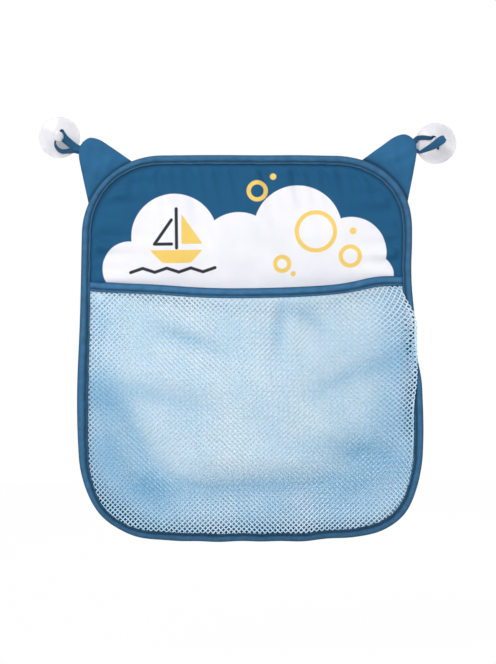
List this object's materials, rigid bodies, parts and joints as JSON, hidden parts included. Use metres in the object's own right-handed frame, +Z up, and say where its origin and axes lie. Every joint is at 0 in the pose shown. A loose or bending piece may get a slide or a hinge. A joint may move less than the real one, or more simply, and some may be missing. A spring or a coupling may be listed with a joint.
{
  "type": "bath toy organizer",
  "caption": "Wall-hung cloth bag with a bound edge, an open-topped net pocket for bath toys, cloth ears and suction cups on ribbon loops.",
  "frame": {"origin": "on the wall, midway between the suction cups, which are pressed on at either side", "axes": "+Z up the wall, +Y into the wall, so that the front of the bag faces -Y, +X to the right seen from the front"},
  "size_m": [0.417, 0.0432, 0.426],
  "materials": {
    "cloth": "woven polyester, blue",
    "ear_cloth": "woven polyester, blue, doubled",
    "tape": "folded bias tape, blue, stitched",
    "net": "knotless square net, pale blue",
    "ribbon": "narrow woven ribbon, blue",
    "clear_vinyl": "clear moulded soft vinyl"
  },
  "bodies": {
    "bag": {"back_panel": "cloth", "edge_binding": "tape", "pocket_net": "net", "mouth_binding": "tape", "left_ear_front": "ear_cloth", "left_ear_back": "ear_cloth", "left_ribbon_tail": "ribbon", "right_ear_front": "ear_cloth", "right_ear_back": "ear_cloth", "right_ribbon_tail": "ribbon"},
    "left_ribbon": {"left_loop": "ribbon"},
    "left_cup": {"left_suction_cup": "clear_vinyl"},
    "right_ribbon": {"right_loop": "ribbon"},
    "right_cup": {"right_suction_cup": "clear_vinyl"}
  },
  "joints": [
    {"name": "left_loop_swing", "type": "hinge", "parent": "bag", "child": "left_ribbon", "pos_m": [-0.16969, -0.00465, -0.0075], "axis": [0.1736, 0, 0.9848], "range_deg": [-20, 70]},
    {"name": "left_cup_tilt", "type": "hinge", "parent": "left_ribbon", "child": "left_cup", "pos_m": [-0.18799, -0.011, 0.005], "axis": [0.564, 0, 0.8257], "range_deg": [0, 50]},
    {"name": "right_loop_swing", "type": "hinge", "parent": "bag", "child": "right_ribbon", "pos_m": [0.16969, -0.00465, -0.0075], "axis": [0.1736, 0, -0.9848], "range_deg": [-20, 70]},
    {"name": "right_cup_tilt", "type": "hinge", "parent": "right_ribbon", "child": "right_cup", "pos_m": [0.18799, -0.011, -0.005], "axis": [0.1353, 0, -0.9908], "range_deg": [0, 50]}
  ]
}
